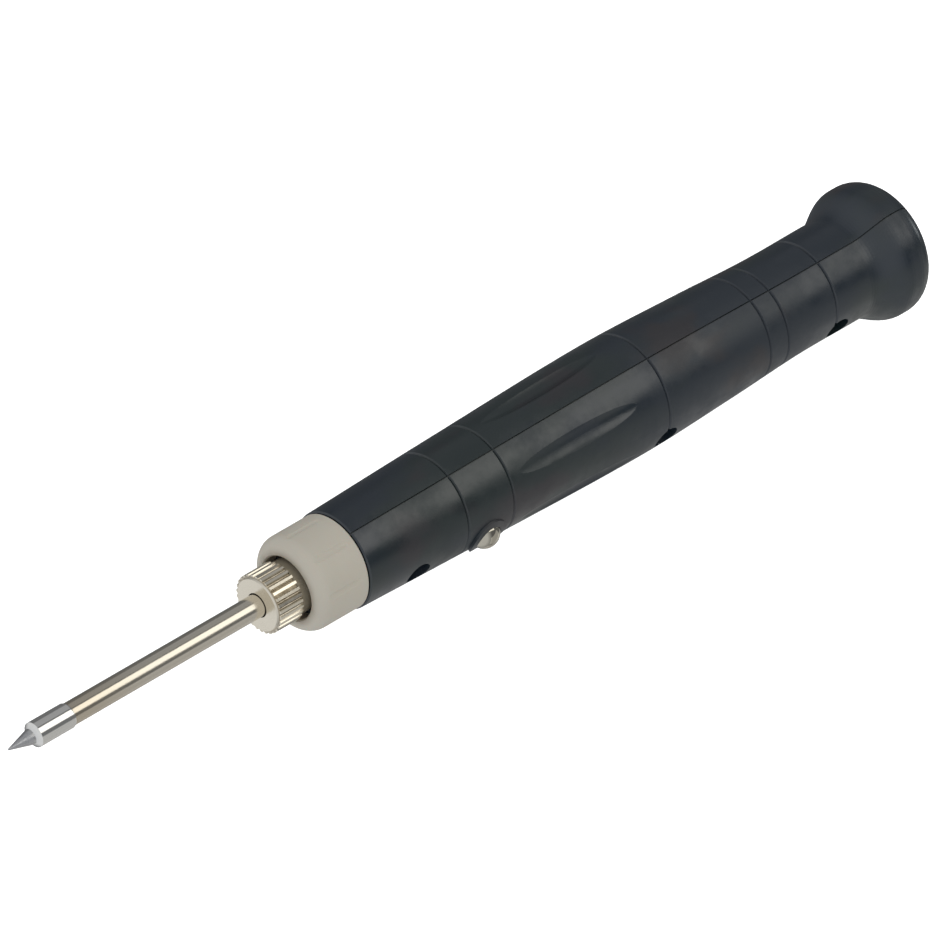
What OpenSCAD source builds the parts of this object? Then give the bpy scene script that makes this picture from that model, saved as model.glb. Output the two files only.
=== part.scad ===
// Pen soldering iron for a 5 V supply, with a ceramic heater inside a slide-on tip.
// The tool lies along X: its point is at the low end and the tail face is at x = 0.
// The shells part on the XZ plane. The touch ball and the screws are on the -Y side.

/* [Handle] */
// Length of the two shells, from the front edge to the tail face
shell_length = 109.5; // [100:0.5:120]
// Diameter at the front edge
front_d = 14.9; // [14.7:0.1:15.4]
// Diameter of the swell round the touch ball
swell_d = 16.4; // [16.2:0.1:17.2]
// Diameter of the thickest part of the grip
belly_d = 17.7; // [17.2:0.1:19]
// Diameter where the belly runs out
fall_d = 16.7; // [16:0.1:17.2]
// Diameter at the front of the waist
waist_front_d = 15.5; // [15.2:0.1:16]
// Diameter at the back of the waist
waist_d = 15.5; // [15.2:0.1:16]
// Diameter of the flared tail
tail_d = 20.5; // [19:0.1:22]
// Radius of the tail's rounded edge
tail_round = 3.5; // [3.1:0.1:4.4]
// Distance from the tail face to where the flare begins
flare_from = 11.2; // [10:0.1:12.4]
// Distance from the tail face to where the flare is full
flare_to = 4.7; // [4.5:0.1:6]
// Wall thickness of the shells
wall = 1.6; // [1.4:0.05:1.8]

/* [Grip marks] */
// Depth of the rings cut round the handle
ring_depth = 0.3; // [0.15:0.05:0.4]
// Width of the rings cut round the handle
ring_width = 0.5; // [0.3:0.05:0.8]
// Length of the six flutes
flute_length = 22.4; // [16:0.2:24]
// Width of the flutes at their middle
flute_width = 3; // [2.4:0.1:3.4]
// Depth of the flutes at their middle
flute_depth = 0.6; // [0.3:0.05:0.7]
// Angle round the handle from one flute to the next, in degrees
flute_spacing = 58; // [50:1:60]
// Width of the groove along the seam
seam_width = 0.2; // [0.1:0.02:0.4]
// Depth of the groove along the seam
seam_depth = 0.35; // [0.2:0.05:0.6]

/* [Nose collar] */
// Length of the collar
collar_length = 8.9; // [8.5:0.05:10]
// Gap between the collar and the shells
collar_gap = 0.1; // [0.05:0.05:0.3]
// Outer diameter of the collar
collar_d = 14.5; // [14.2:0.1:15]
// Wall of the collar round the shells' spigot
collar_wall = 1.3; // [1:0.05:1.4]
// Thickness of the collar's front wall
collar_front_wall = 2.4; // [2.2:0.1:2.8]
// Radius of the collar's rounded nose
collar_round = 2.2; // [1.5:0.1:2.3]
// Diameter of the hole that the nut stands in
collar_hole_d = 9.7; // [9.5:0.1:10]
// Number of grip grooves on the collar
collar_grooves = 8; // [6:2:12]

/* [Knurled nut] */
// Diameter over the ridges
nut_d = 9; // [8.6:0.1:9.2]
// Whole length of the nut
nut_length = 7.5; // [7:0.1:7.8]
// Length of the nut that stands in front of the collar
nut_show = 5.5; // [5:0.1:5.8]
// Thickness of the nut's front wall
nut_front_wall = 2; // [1.6:0.1:2.4]
// Number of ridges
nut_ridges = 30; // [20:2:36]
// Length of the smooth land between the ridges and the collar
nut_land = 0.95; // [0.6:0.05:1.5]
// Depth of the flutes between the ridges
nut_flute_depth = 0.32; // [0.15:0.01:0.4]
// Nominal diameter of the nut's thread
thread_d = 7.2; // [6.8:0.1:7.4]

/* [Tip] */
// Length of the tip that stands in front of the nut
tip_reach = 46; // [40:0.1:55]
// Length of the pointed cone
point_length = 4.1; // [3:0.1:6]
// Diameter at the base of the cone
point_base_d = 2.4; // [2:0.1:2.8]
// Length of the short slope from the cone to the head
head_slope = 0.6; // [0.4:0.1:1]
// Length of the head's round part
head_length = 6.2; // [5:0.1:8]
// Diameter of the head
head_d = 3.76; // [3.6:0.02:4.2]
// Outer diameter of the tube
tube_d = 3.4; // [3.3:0.05:3.55]
// Length of the head's shank inside the tube
shank_length = 3.5; // [2.5:0.1:5]
// Diameter of the flange on the tube's end
tip_flange_d = 6; // [5.4:0.1:6.4]
// Thickness of the flange on the tube's end
tip_flange_t = 1.5; // [1.2:0.1:1.6]

/* [Heater] */
// Diameter of the ceramic heater rod
heater_d = 2.5; // [2.3:0.05:2.6]
// Length of the heater rod behind the bush
heater_tail = 2.5; // [1.5:0.1:3]
// Diameter of the bush inside the shells
bush_d = 8.4; // [8:0.1:8.8]
// Diameter of the bush's flange
bush_flange_d = 10; // [9.6:0.1:10.2]
// Thickness of the bush's flange
bush_flange_t = 1.4; // [1:0.1:1.6]

/* [Touch ball] */
// Diameter of the ball
ball_d = 4.6; // [4.4:0.1:5]
// Height of the ball above the handle
ball_rise = 1.5; // [1.3:0.05:1.6]
// Height of the raised rim round the ball
rim_rise = 0.3; // [0.2:0.05:0.4]
// Width of the raised rim, from the ball's bore outwards
rim_width = 0.85; // [0.7:0.05:1]
// Wire diameter of the touch spring
spring_wire_d = 0.4; // [0.3:0.05:0.5]
// Mean diameter of the touch spring
spring_d = 2.6; // [2.2:0.1:3]
// Turns of the touch spring
spring_turns = 5; // [4:1:6]

/* [Screws] */
// Diameter of the recesses over the screw heads
recess_d = 4; // [3.9:0.05:4.3]
// Depth of the recess floors from the middle plane
recess_floor = 4.2; // [4:0.1:4.4]
// Diameter of the screw heads
screw_head_d = 3.6; // [3.3:0.1:3.8]
// Thickness of the screw heads
screw_head_t = 1.3; // [1:0.1:1.5]
// Diameter of the screw shanks
screw_d = 1.7; // [1.5:0.05:1.9]
// Length of the screw shanks
screw_length = 8.4; // [7.5:0.1:8.6]
// Diameter of the screw bosses
boss_d = 4.4; // [4:0.1:4.4]

/* [Electronics] */
// Gap between the ends of the circuit board and the screw bosses
board_gap = 1.2; // [0.8:0.1:2]
// Width of the circuit board
board_width = 10; // [9:0.1:10.5]
// Thickness of the circuit board
board_t = 1; // [0.8:0.1:1.2]
// Bore of the cable socket
socket_bore_d = 3.6; // [3.5:0.05:3.7]
// Depth of the cable socket's bore
socket_depth = 14; // [12:0.5:14]
// Width of the socket's body
socket_width = 8; // [7.6:0.1:8.4]
// Height of the socket's body
socket_height = 6; // [5.6:0.1:6.4]
// Diameter of the socket's nose in the tail face
socket_nose_d = 5.9; // [5.6:0.1:6.4]
// Diameter of the heater's leads
heater_lead_d = 0.7; // [0.6:0.05:0.8]
// Diameter of the supply leads
supply_lead_d = 1.2; // [1:0.05:1.3]

/* [Hidden] */
$fn = 72;

// Clearance of pieces that sit together and do not move
seat_gap = 0.05;
// Clearance all round of pieces that slide or turn on each other
running_gap = 0.08;
// Length by which every cut runs past the face it opens
overrun = 1;

// Places along the tool, from the tail forwards
shell_front_x = -shell_length;
collar_back_x = shell_front_x - collar_gap;
collar_front_x = collar_back_x - collar_length;
spigot_front_x = collar_front_x + collar_front_wall + seat_gap;
nut_front_x = collar_front_x - nut_show;
nut_back_x = nut_front_x + nut_length;
nut_shoulder_x = nut_front_x + nut_front_wall;
washer_t = 0.6;
washer_front_x = nut_shoulder_x + seat_gap;
tip_flange_x = washer_front_x + washer_t + seat_gap;
tip_back_x = tip_flange_x + tip_flange_t;
bush_front_x = tip_back_x + seat_gap;
bush_rear_reach = 1.5;
bush_back_x = shell_front_x + bush_rear_reach;
point_x = nut_front_x - tip_reach;
head_back_x = point_x + point_length + head_slope + head_length;
shank_back_x = head_back_x + shank_length;
heater_front_gap = 0.5;
heater_front_x = shank_back_x + heater_front_gap;
heater_back_x = bush_back_x + heater_tail;

// Outline of the grip: places as shares of the shells' length from the tail, with the radius there
knot_shares = [1, 0.767, 0.511, 0.347, 0.219, 0.119];
knot_radii = [front_d, swell_d, belly_d, fall_d, waist_front_d, waist_d] / 2;
knots = [for (i = [0 : len(knot_shares) - 1]) [-shell_length * knot_shares[i], knot_radii[i]]];
last_knot = len(knots) - 1;

function knot_slope(i) =
    i == last_knot ? 0
    : let (a = knots[max(i - 1, 0)], b = knots[i + 1]) (b[1] - a[1]) / (b[0] - a[0]);
function knot_before(x, i = 0) = i >= last_knot - 1 || x <= knots[i + 1][0] ? i : knot_before(x, i + 1);
function grip_r(x) =
    let (i = knot_before(x), a = knots[i], b = knots[i + 1], h = b[0] - a[0])
    let (t = min(1, (x - a[0]) / h), t2 = t * t, t3 = t2 * t)
    a[1] * (2 * t3 - 3 * t2 + 1) + knot_slope(i) * h * (t3 - 2 * t2 + t)
    + b[1] * (3 * t2 - 2 * t3) + knot_slope(i + 1) * h * (t3 - t2);
function flare_r(x) =
    let (s = (x + flare_from) / (flare_from - flare_to)) (waist_d + (tail_d - waist_d) * s * s * (3 - 2 * s)) / 2;
function handle_r(x) = x < -flare_from ? grip_r(x) : x < -flare_to ? flare_r(x) : tail_d / 2;
function cavity_r(x) = handle_r(x) - wall;
function arc(x, r, radius, from, to, steps) =
    [for (i = [0 : steps]) let (a = from + (to - from) * i / steps) [r + radius * cos(a), x + radius * sin(a)]];

// Socket at the tail
socket_front_wall = 0.8;
socket_gap = 0.2;
socket_back_x = -tail_round - seat_gap;
socket_front_x = -socket_depth - socket_front_wall;
contact_t = 0.4;
contact_width = 2.4;
contact_reach = 2.6;
contact_wall = 0.7;
contact_z = socket_bore_d / 2 + contact_wall + contact_t / 2;

// Details: shares of the shells' length from the tail, but the rear screw stands at the socket
ring_shares = [0.8333, 0.7553, 0.4822, 0.2913, 0.2566, 0.1662];
ring_x = -shell_length * ring_shares;
screw_shares = [0.9128, 0.4804];
screw_x = concat(-shell_length * screw_shares, [socket_front_x - boss_d / 2 - socket_gap]);
ball_share = 0.7945;
ball_x = -shell_length * ball_share;
flute_share = 0.6347;
flute_x = -shell_length * flute_share;
profile_step = 2.4;
flare_steps = 14;
tail_steps = 10;
cavity_steps = 30;

// Spigot at the front of the shells, with the bead that snaps into the collar
spigot_r = collar_d / 2 - collar_wall - seat_gap;
bead_rise = 0.15;
bead_width = 0.8;
bead_x = shell_front_x - collar_length / 3;
bush_seat_r = bush_d / 2 + seat_gap;
bush_flange_x = (spigot_front_x + shell_front_x) / 2;
bush_flange_seat_r = bush_flange_d / 2 + seat_gap;
cavity_front_x = bush_back_x + seat_gap;
tail_hole_r = socket_nose_d / 2 + seat_gap;
edge_break = 0.2;

// Touch ball, its bore in the shell and the spring under it
ball_y = -(handle_r(ball_x) + ball_rise - ball_d / 2);
ball_bore_r = ball_d / 2 + running_gap;
ball_lip_share = 0.2;
ball_lip_y = ball_y - ball_d / 2 * ball_lip_share;
rim_r = ball_bore_r + rim_width;
rim_top_r = handle_r(ball_x) + rim_rise;
ball_mouth_r = sqrt(pow(ball_d / 2, 2) - pow(rim_top_r + ball_y, 2)) + running_gap;
ball_guide_share = 0.38;
ball_guide_y = ball_y + ball_d * ball_guide_share;

// Screws and bosses
boss_wall = 0.8;
recess_boss_d = recess_d + 2 * boss_wall;
recess_boss_floor = 1.1;
screw_slack = 0.25;
cross_width = 0.5;
cross_depth = 0.7;
screw_point = 1;

// Board between the front two bosses, its ribs, and the room for parts between the ball and the rear rib
board_front_x = screw_x[0] + boss_d / 2 + board_gap;
board_back_x = screw_x[1] - boss_d / 2 - board_gap;
board_face = board_t / 2;
part_gap = 0.02;
rib_t = 1.2;
rib_inset = 4.5;
room_front_x = ball_x + rim_r;
room_back_x = board_back_x - rib_inset - rib_t;
room = room_back_x - room_front_x;

module turned(points) {
    rotate([0, 90, 0])
        rotate_extrude()
            polygon(points);
}

module half_turned(points) {
    rotate([0, 90, 0])
        rotate_extrude(angle = 180)
            polygon(points);
}

module rod_along(x_from, x_to, d) {
    translate([x_from, 0, 0])
        rotate([0, 90, 0])
            cylinder(d = d, h = x_to - x_from);
}

module rod_across(x, y_from, y_to, d) {
    translate([x, y_from, 0])
        rotate([-90, 0, 0])
            cylinder(d = d, h = y_to - y_from);
}

function ring_of(centre, along, r, sides, across) =
    let (side = cross(across, along), u = side / norm(side), v = cross(along, u))
    [for (k = [0 : sides - 1]) let (a = 360 * k / sides) centre + r * (cos(a) * u + sin(a) * v)];

module tube_through(points, r, sides, across) {
    last = len(points) - 1;
    directions = [for (i = [0 : last]) points[min(i + 1, last)] - points[max(i - 1, 0)]];
    rings = [
        for (i = [0 : last])
            for (p = ring_of(points[i], directions[i] / norm(directions[i]), r, sides, across)) p
    ];
    walls = [
        for (i = [0 : last - 1], k = [0 : sides - 1])
            let (a = i * sides + k, b = i * sides + (k + 1) % sides)
            for (f = [[a, b, b + sides], [a, b + sides, a + sides]]) f
    ];
    polyhedron(concat(rings, ends_centres(points)), concat(walls, end_fans(last, sides)));
}

function ends_centres(points) = [points[0], points[len(points) - 1]];
function end_fans(last, sides) =
    let (n = (last + 1) * sides)
    concat(
        [for (k = [0 : sides - 1]) [n, (k + 1) % sides, k]],
        [for (k = [0 : sides - 1]) [n + 1, last * sides + k, last * sides + (k + 1) % sides]]
    );

module rib(x, y_from) {
    r = cavity_r(x) + wall / 2;
    translate([x - rib_t / 2, 0, 0])
        rotate([0, 90, 0])
            linear_extrude(rib_t)
                intersection() {
                    circle(r);
                    translate([-r, y_from])
                        square([2 * r, r]);
                }
}

ring_bounds = concat([shell_front_x + edge_break], ring_x, [-flare_from]);
outline = [
    for (i = [0 : len(ring_bounds) - 2])
        let (
            first = i == 0,
            final = i == len(ring_bounds) - 2,
            a = ring_bounds[i] + (first ? 0 : ring_width / 2),
            b = ring_bounds[i + 1] - (final ? 0 : ring_width / 2),
            steps = ceil((b - a) / profile_step)
        )
        for (j = [0 : steps + (final ? 0 : 1)])
            j > steps
                ? [handle_r(ring_bounds[i + 1]) - ring_depth, ring_bounds[i + 1]]
                : [handle_r(a + (b - a) * j / steps), a + (b - a) * j / steps]
];
flare_outline = [
    for (i = [1 : flare_steps])
        let (x = -flare_from + (flare_from - flare_to) * i / flare_steps) [handle_r(x), x]
];
cavity_outline = [
    for (i = [0 : flare_steps])
        let (x = -tail_round - (flare_from - tail_round) * i / flare_steps) [cavity_r(x), x],
    for (i = [1 : cavity_steps])
        let (x = -flare_from + (cavity_front_x + flare_from) * i / cavity_steps) [cavity_r(x), x]
];

shell_wall = concat(
    [
        [bush_seat_r, spigot_front_x],
        [spigot_r - edge_break, spigot_front_x],
        [spigot_r, spigot_front_x + edge_break],
        [spigot_r, bead_x - bead_width / 2],
        [spigot_r + bead_rise, bead_x],
        [spigot_r, bead_x + bead_width / 2],
        [spigot_r, shell_front_x],
        [front_d / 2 - edge_break, shell_front_x]
    ],
    outline,
    flare_outline,
    arc(-tail_round, tail_d / 2 - tail_round, tail_round, 0, 90, tail_steps),
    [[tail_hole_r, 0], [tail_hole_r, -tail_round]],
    cavity_outline,
    [
        [bush_seat_r, cavity_front_x],
        [bush_seat_r, bush_flange_x + bush_flange_t + seat_gap],
        [bush_flange_seat_r, bush_flange_x + bush_flange_t + seat_gap],
        [bush_flange_seat_r, bush_flange_x - seat_gap],
        [bush_seat_r, bush_flange_x - seat_gap]
    ]
);

module seam_groove() {
    inside = concat(
        [[0, shell_front_x - overrun]],
        [[front_d / 2 - seam_depth, shell_front_x - overrun]],
        [for (x = [shell_front_x : profile_step : -flare_from]) [handle_r(x) - seam_depth, x]],
        [for (p = flare_outline) [p[0] - seam_depth, p[1]]],
        arc(-tail_round, tail_d / 2 - tail_round, tail_round - seam_depth, 0, 90, tail_steps),
        [[0, -seam_depth]]
    );
    difference() {
        translate([shell_front_x, -seam_width / 2, -tail_d])
            cube([shell_length + overrun, seam_width, 2 * tail_d]);
        turned(inside);
    }
}

// Three hollows a side, cut by a ring of round section whose outer radius gives each its length. The
// ring leans with the surface, so that both ends of a hollow run out alike
module flutes() {
    rear_r = handle_r(flute_x + flute_length / 2);
    front_r = handle_r(flute_x - flute_length / 2);
    surface_r = (rear_r + front_r) / 2;
    cutter_r = 1 / (8 * flute_depth / (flute_width * flute_width) - 1 / surface_r);
    reach = flute_length * flute_length / (8 * flute_depth);
    for (i = [-1 : 1])
        rotate([-90 - flute_spacing * i, 0, 0])
            translate([flute_x, 0, surface_r])
                rotate([90, atan((front_r - rear_r) / flute_length), 0])
                    translate([0, reach - flute_depth, 0])
                        rotate_extrude($fn = 360)
                            translate([reach - cutter_r, 0])
                                circle(r = cutter_r, $fn = 48);
}

module board_ribs() {
    for (x = [board_front_x + rib_inset, board_back_x - rib_inset])
        rib(x, board_face + seat_gap);
}

module socket_rib() {
    x = (socket_front_x + socket_back_x) / 2;
    slot_z = socket_width / 2 + seat_gap;
    slot_y = socket_height / 2 + seat_gap;
    difference() {
        rib(x, seam_width);
        translate([x - rib_t, -slot_y, -slot_z])
            cube([2 * rib_t, 2 * slot_y, 2 * slot_z]);
    }
}

module plain_half() {
    difference() {
        half_turned(shell_wall);
        seam_groove();
        flutes();
    }
}

module plain_side_shell() {
    color([0.13, 0.15, 0.19]) {
        difference() {
            union() {
                plain_half();
                board_ribs();
                socket_rib();
                for (x = screw_x)
                    rod_across(x, 0, cavity_r(x) + wall / 2, boss_d);
            }
            for (x = screw_x)
                rod_across(x, -overrun, screw_length - recess_floor + screw_slack, screw_d + 2 * part_gap);
        }
    }
}

module switch_side_shell() {
    color([0.13, 0.15, 0.19]) {
        difference() {
            union() {
                mirror([0, 1, 0]) {
                    plain_half();
                    board_ribs();
                    socket_rib();
                }
                for (x = screw_x) {
                    rod_across(x, -cavity_r(x) - wall / 2, -recess_floor + recess_boss_floor, recess_boss_d);
                    rod_across(x, -recess_floor, 0, boss_d);
                }
                intersection() {
                    rod_across(ball_x, -rim_top_r - overrun, ball_guide_y, 2 * rim_r);
                    rod_along(ball_x - 2 * rim_r, ball_x + 2 * rim_r, 2 * rim_top_r);
                }
            }
            for (x = screw_x) {
                rod_across(x, -tail_d, -recess_floor, recess_d);
                rod_across(x, -tail_d, overrun, screw_d + 2 * screw_slack);
            }
            rod_across(ball_x, ball_lip_y, ball_guide_y + overrun, 2 * ball_bore_r);
            rod_across(ball_x, -tail_d, 0, 2 * ball_mouth_r);
            translate([ball_x, -rim_top_r, 0])
                rotate([-90, 0, 0])
                    cylinder(r1 = ball_mouth_r, r2 = ball_bore_r, h = rim_top_r + ball_lip_y);
        }
    }
}

module nose_collar() {
    bore_r = collar_d / 2 - collar_wall;
    bead_seat = bead_width / 2 + seat_gap;
    groove_r = 1.1;
    groove_depth = 0.14;
    groove_inset = 1.4;
    groove_steps = 5;
    first_groove = 6.5;
    nose_steps = 9;
    groove_back_x = collar_back_x - groove_inset - sqrt(2 * groove_r * groove_depth);
    groove = concat(
        [[0, collar_front_x - overrun], [groove_r, collar_front_x - overrun]],
        arc(groove_back_x, 0, groove_r, 0, 90, groove_steps)
    );
    body = concat(
        [
            [collar_hole_d / 2, spigot_front_x - seat_gap],
            [collar_hole_d / 2, collar_front_x + edge_break],
            [collar_hole_d / 2 + edge_break, collar_front_x]
        ],
        arc(collar_front_x + collar_round, collar_d / 2 - collar_round, collar_round, -90, 0, nose_steps),
        [
            [collar_d / 2, collar_back_x - edge_break],
            [collar_d / 2 - edge_break, collar_back_x],
            [bore_r, collar_back_x],
            [bore_r, bead_x + bead_seat],
            [bore_r + bead_rise, bead_x],
            [bore_r, bead_x - bead_seat],
            [bore_r, spigot_front_x - seat_gap]
        ]
    );
    color([0.66, 0.64, 0.6])
        difference() {
            turned(body);
            for (i = [0 : collar_grooves - 1])
                rotate([first_groove + 360 * i / collar_grooves, 0, 0])
                    translate([0, 0, collar_d / 2 + groove_r - groove_depth])
                        turned(groove);
        }
}

module shell_screws() {
    color([0.35, 0.35, 0.37])
        for (x = screw_x)
            difference() {
                union() {
                    rod_across(x, -recess_floor - part_gap - screw_head_t, -recess_floor - part_gap, screw_head_d);
                    rod_across(x, -recess_floor - screw_head_t / 2, screw_length - recess_floor - screw_point, screw_d);
                    translate([x, screw_length - recess_floor - screw_point, 0])
                        rotate([-90, 0, 0])
                            cylinder(d1 = screw_d, d2 = screw_d / 4, h = screw_point);
                }
                for (turn = [45, 135])
                    translate([x, -recess_floor - screw_head_t, 0])
                        rotate([0, turn, 0])
                            translate([-screw_head_d / 3, -overrun, -cross_width / 2])
                                cube([screw_head_d * 2 / 3, overrun + cross_depth, cross_width]);
            }
}

module tip_bit() {
    blunt_r = 0.1;
    base_x = point_x + point_length;
    shank_r = heater_d / 2 + running_gap - part_gap;
    color([0.78, 0.77, 0.74])
        turned([
            [0, point_x],
            [blunt_r, point_x],
            [point_base_d / 2, base_x],
            [head_d / 2, base_x + head_slope],
            [head_d / 2, head_back_x - edge_break],
            [head_d / 2 - edge_break / 2, head_back_x],
            [shank_r, head_back_x],
            [shank_r, shank_back_x],
            [0, shank_back_x]
        ]);
}

module tip_tube() {
    color([0.74, 0.71, 0.66])
        difference() {
            rod_along(head_back_x, tip_back_x, tube_d);
            rod_along(head_back_x - overrun, tip_back_x + overrun, heater_d + 2 * running_gap);
        }
}

module tip_flange() {
    color([0.7, 0.68, 0.64])
        difference() {
            rod_along(tip_flange_x, tip_back_x, tip_flange_d);
            rod_along(tip_flange_x - overrun, tip_back_x + overrun, tube_d + 2 * part_gap);
        }
}

module knurled_nut() {
    chamfer = 0.3;
    land_step = 0.08;
    valley_r = nut_d / 2 - nut_flute_depth;
    land_r = valley_r - land_step;
    core_r = valley_r - nut_flute_depth;
    band_front_x = nut_front_x + chamfer;
    band_back_x = nut_front_x + nut_show - nut_land;
    ridge_pitch = 360 / nut_ridges;
    crest_share = 0.42;
    valley_shares = [0.45, 0.12, 0, 0.12, 0.45];
    valley_step_share = (1 - crest_share) / (len(valley_shares) + 1);
    ridge = concat(
        [[nut_d / 2, 0], [nut_d / 2, crest_share]],
        [
            for (k = [0 : len(valley_shares) - 1])
                [valley_r + nut_flute_depth * valley_shares[k], crest_share + (k + 1) * valley_step_share]
        ]
    );
    color([0.75, 0.72, 0.66])
        difference() {
            union() {
                turned([
                    [0, nut_front_x],
                    [land_r - chamfer / 2, nut_front_x],
                    [land_r, band_front_x],
                    [core_r, band_front_x],
                    [core_r, band_back_x],
                    [land_r, band_back_x],
                    [land_r, nut_back_x - edge_break],
                    [land_r - edge_break, nut_back_x],
                    [0, nut_back_x]
                ]);
                translate([band_front_x, 0, 0])
                    rotate([0, 90, 0])
                        linear_extrude(band_back_x - band_front_x)
                            polygon([
                                for (i = [0 : nut_ridges - 1], p = ridge)
                                    let (a = (i + p[1]) * ridge_pitch) [p[0] * cos(a), p[0] * sin(a)]
                            ]);
            }
            rod_along(nut_front_x - overrun, nut_back_x + overrun, tube_d + 4 * running_gap);
            rod_along(nut_shoulder_x, nut_back_x + overrun, thread_d);
        }
}

module thrust_washer() {
    color([0.6, 0.6, 0.6])
        difference() {
            rod_along(washer_front_x, washer_front_x + washer_t, tip_flange_d + 2 * running_gap);
            rod_along(washer_front_x - overrun, washer_front_x + washer_t + overrun, tube_d + 4 * running_gap);
        }
}

module heater_bush() {
    bore_r = heater_d / 2 + part_gap;
    nose_r = thread_d / 2 - running_gap;
    color([0.7, 0.58, 0.32])
        turned([
            [bore_r, bush_front_x],
            [nose_r - edge_break, bush_front_x],
            [nose_r, bush_front_x + edge_break],
            [nose_r, spigot_front_x],
            [bush_d / 2, spigot_front_x],
            [bush_d / 2, bush_flange_x],
            [bush_flange_d / 2, bush_flange_x],
            [bush_flange_d / 2, bush_flange_x + bush_flange_t],
            [bush_d / 2, bush_flange_x + bush_flange_t],
            [bush_d / 2, bush_back_x],
            [bore_r, bush_back_x]
        ]);
}

module heater_rod() {
    color([0.9, 0.88, 0.84])
        rod_along(heater_front_x, heater_back_x, heater_d);
}

module heater_leads() {
    r = heater_lead_d / 2;
    spread = r + running_gap;
    lap = 2;
    slope_share = 0.8;
    round_z = boss_d / 2 + heater_lead_d + r;
    board_y = board_face + r + part_gap;
    color([0.85, 0.83, 0.8])
        for (side = [-1, 1])
            tube_through(
                [
                    [heater_back_x + part_gap, side * spread, 0],
                    [heater_back_x + r, side * spread, 0],
                    [heater_back_x + heater_lead_d + r, side * spread, -heater_lead_d],
                    [screw_x[0] - boss_d / 2 - r, side * (spread + r / 2), -slope_share * round_z],
                    [screw_x[0] - boss_d / 4, side * board_y, -round_z],
                    [screw_x[0] + boss_d / 4, side * board_y, -round_z],
                    [board_front_x, side * board_y, -round_z],
                    [board_front_x + lap, side * board_y, -round_z]
                ],
                r, 8, [0, 1, 0]
            );
}

module touch_ball() {
    color([0.8, 0.78, 0.72])
        translate([ball_x, ball_y, 0])
            sphere(d = ball_d);
}

module touch_spring() {
    wire_r = spring_wire_d / 2;
    low_y = -board_face - part_gap - wire_r;
    seat = sqrt(pow(ball_d / 2 + wire_r + part_gap, 2) - pow(spring_d / 2, 2));
    high_y = ball_y + seat;
    rings_a_turn = 8;
    last = spring_turns * rings_a_turn;
    color([0.7, 0.7, 0.68])
        tube_through(
            [
                for (i = [0 : last])
                    let (a = 360 * i / rings_a_turn)
                    [
                        ball_x + spring_d / 2 * cos(a),
                        low_y + (high_y - low_y) * i / last,
                        spring_d / 2 * sin(a)
                    ]
            ],
            wire_r, 6, [0, 1, 0]
        );
}

module circuit_board() {
    color([0.1, 0.35, 0.2])
        translate([board_front_x, -board_face, -board_width / 2])
            cube([board_back_x - board_front_x, board_t, board_width]);
}

// A block on the board's touch-ball side, or on its other side where side is 1
module on_board(x, z, length, height, width, side = -1) {
    y = side > 0 ? board_face + part_gap : -board_face - part_gap - height;
    translate([x - length / 2, y, z - width / 2])
        cube([length, height, width]);
}

module controller_chip() {
    length = 4.9;
    width = 3.9;
    height = 1.4;
    leg_reach = 1;
    leg_width = 0.42;
    leg_pitch = 1.27;
    place_share = 0.33;
    x = room_front_x + room * place_share;
    color([0.15, 0.15, 0.16]) {
        on_board(x, 0, length, height, width);
        for (i = [-1.5 : 1 : 1.5])
            on_board(x + i * leg_pitch, 0, leg_width, height / 3, width + 2 * leg_reach);
    }
}

module power_transistor() {
    length = 4.5;
    width = 2.5;
    height = 1.5;
    tab_reach = 1;
    place_share = 0.8;
    x = room_front_x + room * place_share;
    color([0.15, 0.15, 0.16]) {
        on_board(x, 0, length, height, width);
        on_board(x, -tab_reach, length / 3, height / 4, width + tab_reach);
        for (i = [-1 : 1])
            on_board(x + i * length / 3, tab_reach, length / 9, height / 4, width);
    }
}

module motion_sensor() {
    can_d = 3.4;
    can_length = 9;
    x = board_front_x + rib_inset + rib_t + can_length / 2;
    color([0.72, 0.72, 0.7])
        translate([0, board_face + part_gap + can_d / 2, 0])
            rod_along(x - can_length / 2, x + can_length / 2, can_d);
}

module indicator_led() {
    lens_d = 3;
    lens_length = 3.6;
    rim_d = 3.4;
    rim_t = 0.8;
    lead_t = 0.4;
    lead_spread = 1.27;
    z = boss_d / 2 + rim_d / 2;
    back_x = screw_x[0] - boss_d / 2 - seat_gap;
    rim_x = back_x - rim_t;
    dome_x = rim_x - lens_length + lens_d / 2;
    dome_steps = 8;
    color([0.85, 0.15, 0.1])
        translate([0, 0, z]) {
            turned(concat(
                [[0, back_x], [0, dome_x - lens_d / 2]],
                [
                    for (i = [1 : dome_steps])
                        let (a = 90 * i / dome_steps)
                        [lens_d / 2 * sin(a), dome_x - lens_d / 2 * cos(a)]
                ],
                [[lens_d / 2, rim_x], [rim_d / 2, rim_x], [rim_d / 2, back_x]]
            ));
            for (side = [-1, 1])
                translate([back_x - rim_t / 2, side * lead_spread - lead_t / 2, 0])
                    cube([board_front_x + rim_t - back_x + rim_t / 2, lead_t, lead_t]);
        }
}

module chip_resistors() {
    length = 2;
    width = 1.25;
    height = 0.5;
    z = board_width / 2 - width;
    place_shares = [0.12, 0.36, 0.6, 0.84];
    color([0.12, 0.12, 0.13])
        for (i = [0 : 3])
            on_board(room_front_x + room * place_shares[i], (i % 2 == 0 ? 1 : -1) * z, length, height, width);
}

module capacitor() {
    can_d = 4;
    can_height = 4.6;
    base_width = 4.3;
    base_t = 0.8;
    x = board_back_x - rib_inset - rib_t - base_width;
    color([0.75, 0.75, 0.77]) {
        on_board(x, 0, base_width, base_t, base_width, 1);
        rod_across(x, board_face + part_gap + base_t / 2, board_face + part_gap + base_t + can_height, can_d);
    }
}

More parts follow.
